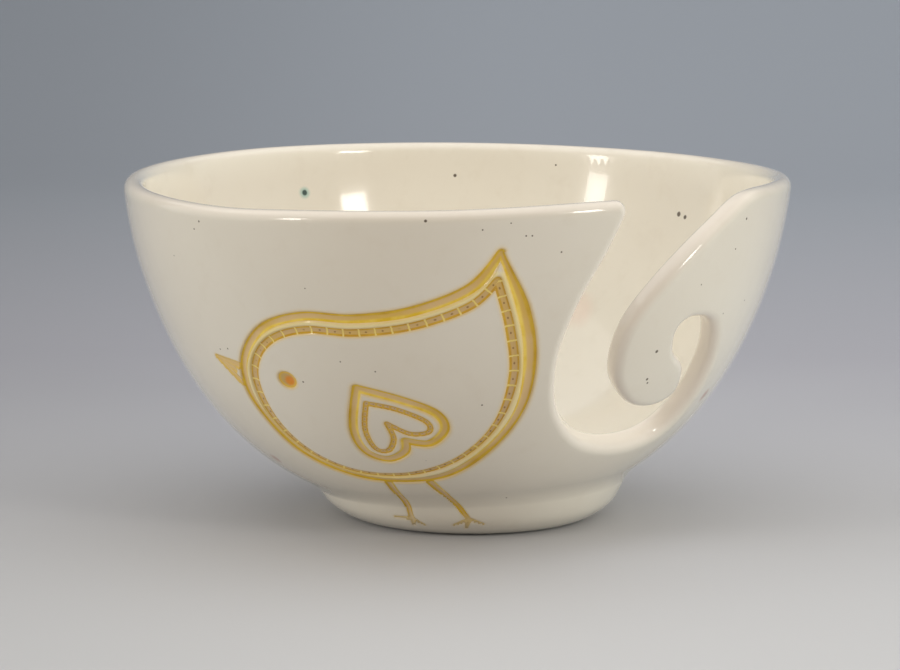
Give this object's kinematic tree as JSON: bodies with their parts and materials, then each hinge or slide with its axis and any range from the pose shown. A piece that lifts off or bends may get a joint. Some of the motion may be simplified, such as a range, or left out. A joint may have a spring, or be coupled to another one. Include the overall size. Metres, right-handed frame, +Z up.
{
  "type": "yarn bowl",
  "caption": "Round glazed ceramic yarn bowl on a low foot, with a curled slot that guides the yarn and a carved bird.",
  "frame": {"origin": "on the table, under the centre of the rim", "axes": "+Z up; -Y is the front, where the bird is; +X to the right, with the yarn slot between -Y and +X"},
  "size_m": [0.165, 0.165, 0.087],
  "materials": {
    "white_glaze": "gloss",
    "yellow_glaze": "gloss",
    "dark_glaze": "gloss"
  },
  "bodies": {
    "root": {"bowl_wall": "white_glaze", "foot_ring": "white_glaze", "bird_outline": "yellow_glaze", "bird_stitches": "yellow_glaze", "bird_beak": "yellow_glaze", "bird_eye": "dark_glaze", "heart_outline": "yellow_glaze", "heart_stitches": "yellow_glaze", "left_leg": "yellow_glaze", "right_leg": "yellow_glaze", "left_toes": "yellow_glaze", "right_toes": "yellow_glaze"}
  },
  "joints": []
}
